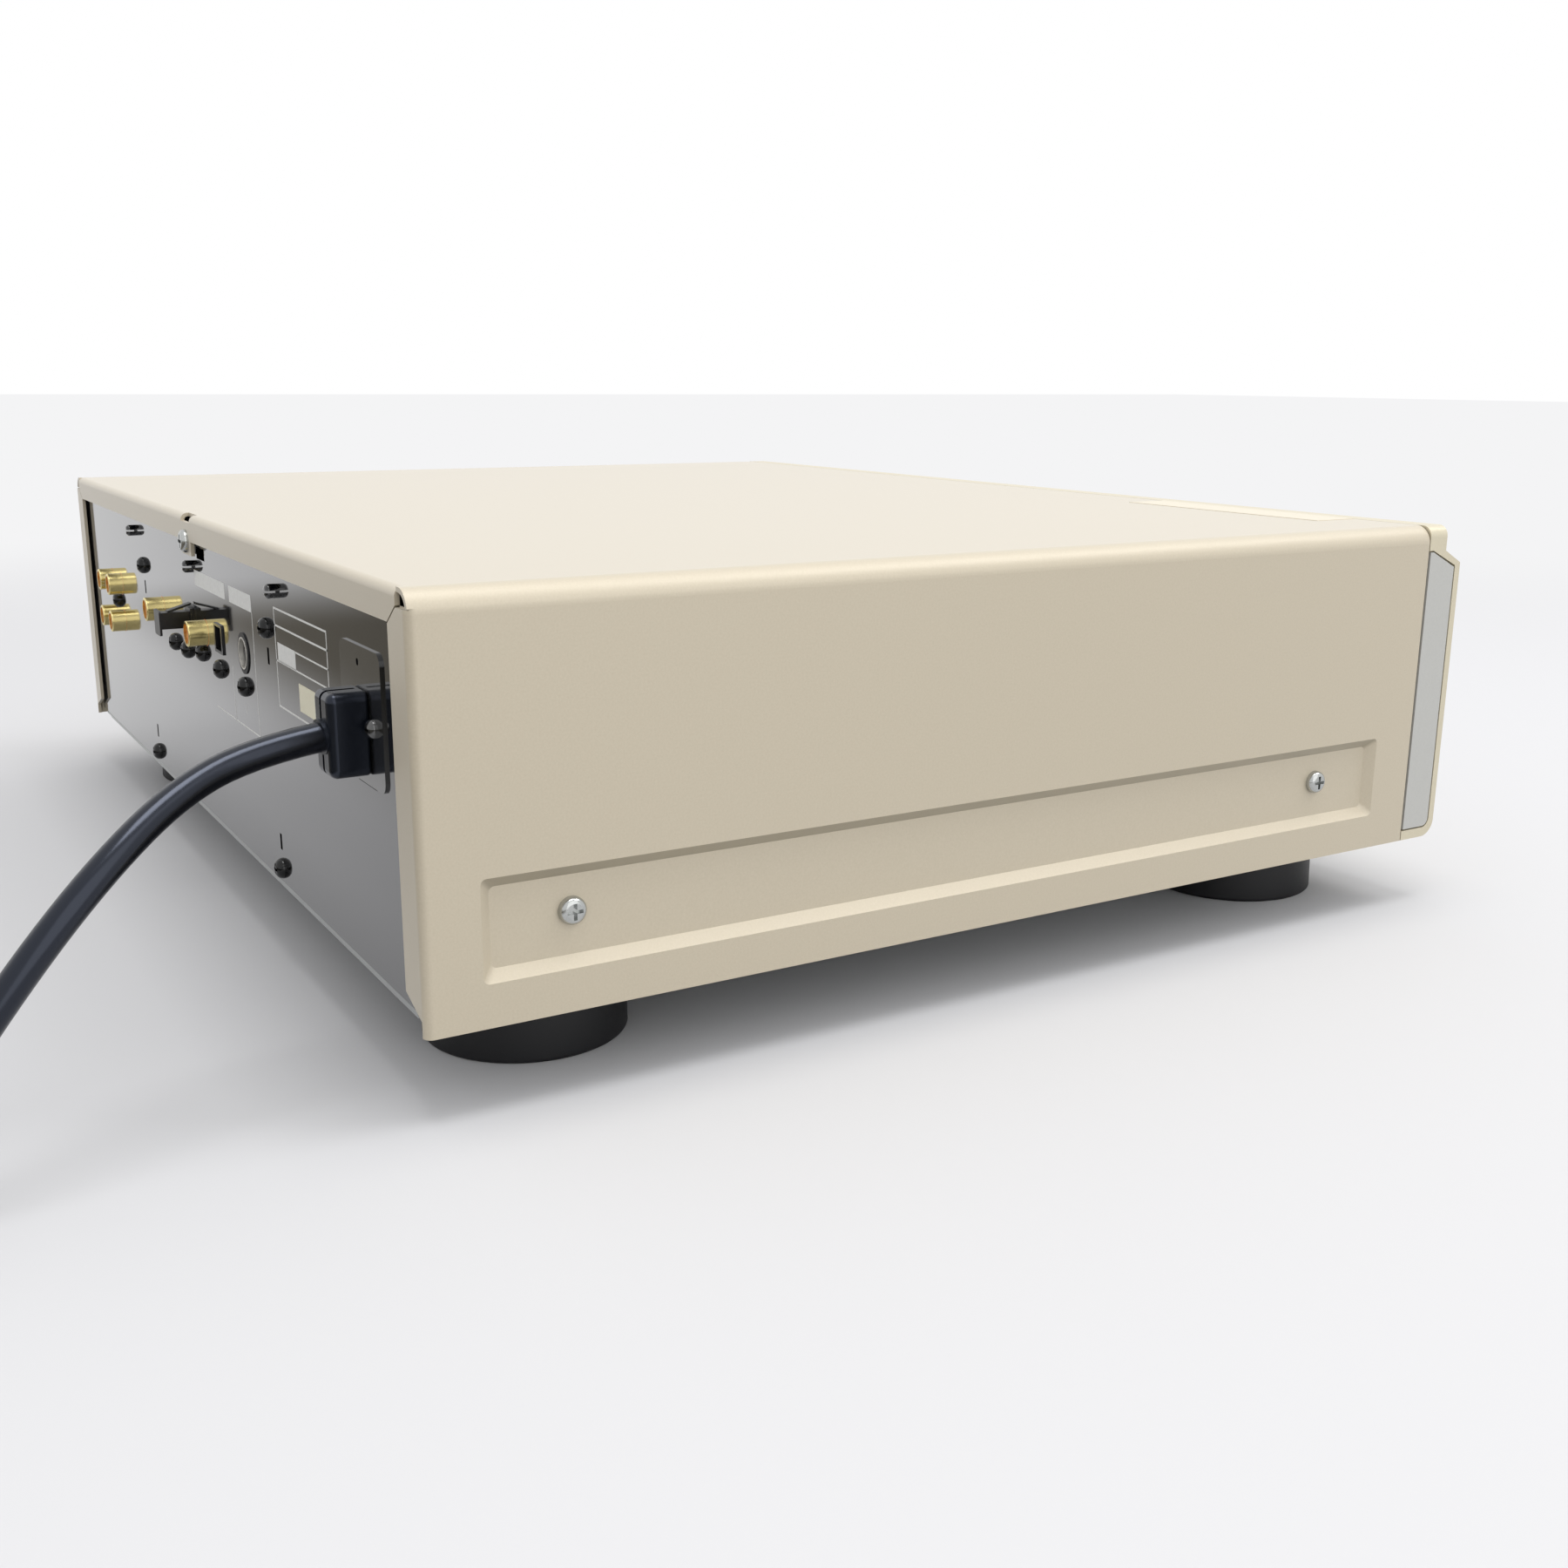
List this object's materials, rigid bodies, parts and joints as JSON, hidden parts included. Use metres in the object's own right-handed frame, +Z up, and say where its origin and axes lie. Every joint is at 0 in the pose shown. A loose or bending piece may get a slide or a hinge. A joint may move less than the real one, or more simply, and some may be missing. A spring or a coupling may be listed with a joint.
{
  "type": "cartridge disc deck",
  "caption": "Full-width home audio deck that plays and records small cartridge discs, with front slot, knobs, display, rear sockets and a mains cord.",
  "frame": {"origin": "on the floor under the middle of the deck without its mains cord", "axes": "+X to the right of the front, +Y from the front to the rear, +Z up"},
  "size_m": [0.43, 0.5782, 0.1248],
  "materials": {
    "cover_paint": "satin",
    "front_paint": "satin",
    "rear_paint": "satin",
    "zinc_sheet": "satin",
    "zinc_screw": "polished",
    "black_screw": "gloss",
    "black_plastic": "matte",
    "grey_plastic": "matte",
    "control_plastic": "satin",
    "knob_paint": "satin",
    "gold_plate": "polished",
    "jack_plastic": "satin",
    "nickel": "polished",
    "plate_metal": "satin",
    "pale_label": "satin",
    "cream_label": "satin",
    "cord_rubber": "satin",
    "tie_plastic": "matte",
    "plug_plastic": "satin",
    "window_glass": "polished",
    "tube_glass": "gloss",
    "board_green": "satin",
    "board_tan": "satin",
    "bright_steel": "satin",
    "turntable": "satin",
    "motor_can": "satin",
    "core_steel": "satin",
    "can_sleeve": "gloss"
  },
  "bodies": {
    "chassis": {"top_cover": "cover_paint", "bottom_plate": "zinc_sheet", "rear_panel": "rear_paint", "front_panel": "front_paint", "end_inserts": "grey_plastic", "front_subframe": "zinc_sheet", "feet": "black_plastic", "foot_screws": "zinc_screw", "side_screws": "zinc_screw", "cover_screw": "zinc_screw", "rear_screws": "black_screw", "snap_rivets": "black_plastic", "top_label": "pale_label", "serial_label": "cream_label", "line_jacks": "gold_plate", "coax_jacks": "gold_plate", "jack_insulators": "jack_plastic", "optical_sockets": "black_plastic", "keyboard_jack": "black_plastic", "jack_shield": "nickel", "inlet_plate": "plate_metal", "mains_inlet": "black_plastic", "inlet_screws": "black_screw", "cord_connector": "cord_rubber", "mains_cord": "cord_rubber", "cord_coil": "cord_rubber", "cord_tail": "cord_rubber", "cord_tie": "tie_plastic", "mains_plug": "plug_plastic", "display_window": "window_glass", "display_tube": "tube_glass", "display_board": "board_green", "phones_jack": "black_plastic", "mechanism_frame": "zinc_sheet", "spindle_motor": "motor_can", "guide_rods": "bright_steel", "loading_motor": "motor_can", "main_board": "board_green", "power_board": "board_tan", "transformer": "core_steel", "capacitors": "can_sleeve"},
    "power_button": {"power_button": "control_plastic"},
    "eject_button": {"eject_button": "control_plastic"},
    "play_button": {"play_button": "control_plastic"},
    "pause_button": {"pause_button": "control_plastic"},
    "stop_button": {"stop_button": "control_plastic"},
    "record_button": {"record_button": "control_plastic"},
    "jog_stem": {"jog_shaft": "nickel"},
    "jog_knob": {"jog_knob": "knob_paint"},
    "record_level": {"record_level_knob": "knob_paint"},
    "phones_level": {"phones_level_knob": "knob_paint"},
    "input_level": {"input_knob": "knob_paint"},
    "timer_slide": {"timer_switch": "control_plastic"},
    "flap": {"disc_flap": "control_plastic"},
    "holder": {"disc_holder": "bright_steel"},
    "cam": {"cam_slider": "bright_steel"},
    "spindle": {"spindle": "turntable"},
    "pickup": {"pickup": "grey_plastic"},
    "lead_screw": {"lead_screw": "bright_steel"},
    "dust_cap": {"optical_cap": "black_plastic"}
  },
  "joints": [
    {"name": "power_press", "type": "slide", "parent": "chassis", "child": "power_button", "axis": [0, 1, 0], "range_m": [0, 0.0008], "stiffness_N_per_m": 600, "springref_m": -0.0008},
    {"name": "eject_press", "type": "slide", "parent": "chassis", "child": "eject_button", "axis": [0, 1, 0], "range_m": [0, 0.0008], "stiffness_N_per_m": 600, "springref_m": -0.0008},
    {"name": "play_press", "type": "slide", "parent": "chassis", "child": "play_button", "axis": [0, 1, 0], "range_m": [0, 0.0008], "stiffness_N_per_m": 600, "springref_m": -0.0008},
    {"name": "pause_press", "type": "slide", "parent": "chassis", "child": "pause_button", "axis": [0, 1, 0], "range_m": [0, 0.0008], "stiffness_N_per_m": 600, "springref_m": -0.0008},
    {"name": "stop_press", "type": "slide", "parent": "chassis", "child": "stop_button", "axis": [0, 1, 0], "range_m": [0, 0.0008], "stiffness_N_per_m": 600, "springref_m": -0.0008},
    {"name": "record_press", "type": "slide", "parent": "chassis", "child": "record_button", "axis": [0, 1, 0], "range_m": [0, 0.0008], "stiffness_N_per_m": 600, "springref_m": -0.0008},
    {"name": "jog_press", "type": "slide", "parent": "chassis", "child": "jog_stem", "axis": [0, 1, 0], "range_m": [0, 0.0008], "stiffness_N_per_m": 600, "springref_m": -0.0008},
    {"name": "jog_turn", "type": "hinge", "parent": "jog_stem", "child": "jog_knob", "pos_m": [0.116, -0.17055, 0.082], "axis": [0, -1, 0], "continuous": true},
    {"name": "record_level_turn", "type": "hinge", "parent": "chassis", "child": "record_level", "pos_m": [0.171, -0.17055, 0.082], "axis": [0, -1, 0], "range_deg": [-150, 150]},
    {"name": "phones_level_turn", "type": "hinge", "parent": "chassis", "child": "phones_level", "pos_m": [-0.154, -0.17055, 0.046], "axis": [0, -1, 0], "range_deg": [-150, 150]},
    {"name": "input_level_turn", "type": "hinge", "parent": "chassis", "child": "input_level", "pos_m": [-0.12, -0.17055, 0.046], "axis": [0, -1, 0], "range_deg": [-150, 150]},
    {"name": "timer_slide", "type": "slide", "parent": "chassis", "child": "timer_slide", "axis": [1, 0, 0], "range_m": [-0.004, 0.004]},
    {"name": "flap_swing", "type": "hinge", "parent": "chassis", "child": "flap", "pos_m": [0, -0.16915, 0.0994], "axis": [1, 0, 0], "range_deg": [0, 80], "stiffness_Nm_per_rad": 0.002, "springref_deg": -20},
    {"name": "holder_drop", "type": "slide", "parent": "chassis", "child": "holder", "axis": [0, 0, 1], "range_m": [-0.004, 0]},
    {"name": "cam_slide", "type": "slide", "parent": "chassis", "child": "cam", "axis": [0, 1, 0], "range_m": [0, 0.008]},
    {"name": "spindle_turn", "type": "hinge", "parent": "chassis", "child": "spindle", "pos_m": [0, -0.11405, 0.0802], "axis": [0, 0, 1], "continuous": true},
    {"name": "pickup_slide", "type": "slide", "parent": "chassis", "child": "pickup", "axis": [1, 0, 0], "range_m": [0, 0.016]},
    {"name": "lead_screw_turn", "type": "hinge", "parent": "chassis", "child": "lead_screw", "pos_m": [0.025, -0.09755, 0.0815], "axis": [1, 0, 0], "range_deg": [0, 1440]},
    {"name": "dust_cap_pull", "type": "slide", "parent": "chassis", "child": "dust_cap", "axis": [0, 1, 0], "range_m": [0, 0.012]}
  ],
  "couplings": [
    {"joint": "cam_slide", "follows": "holder_drop", "ratio": -2},
    {"joint": "lead_screw_turn", "follows": "pickup_slide", "rad_per_m": 1570.8}
  ]
}
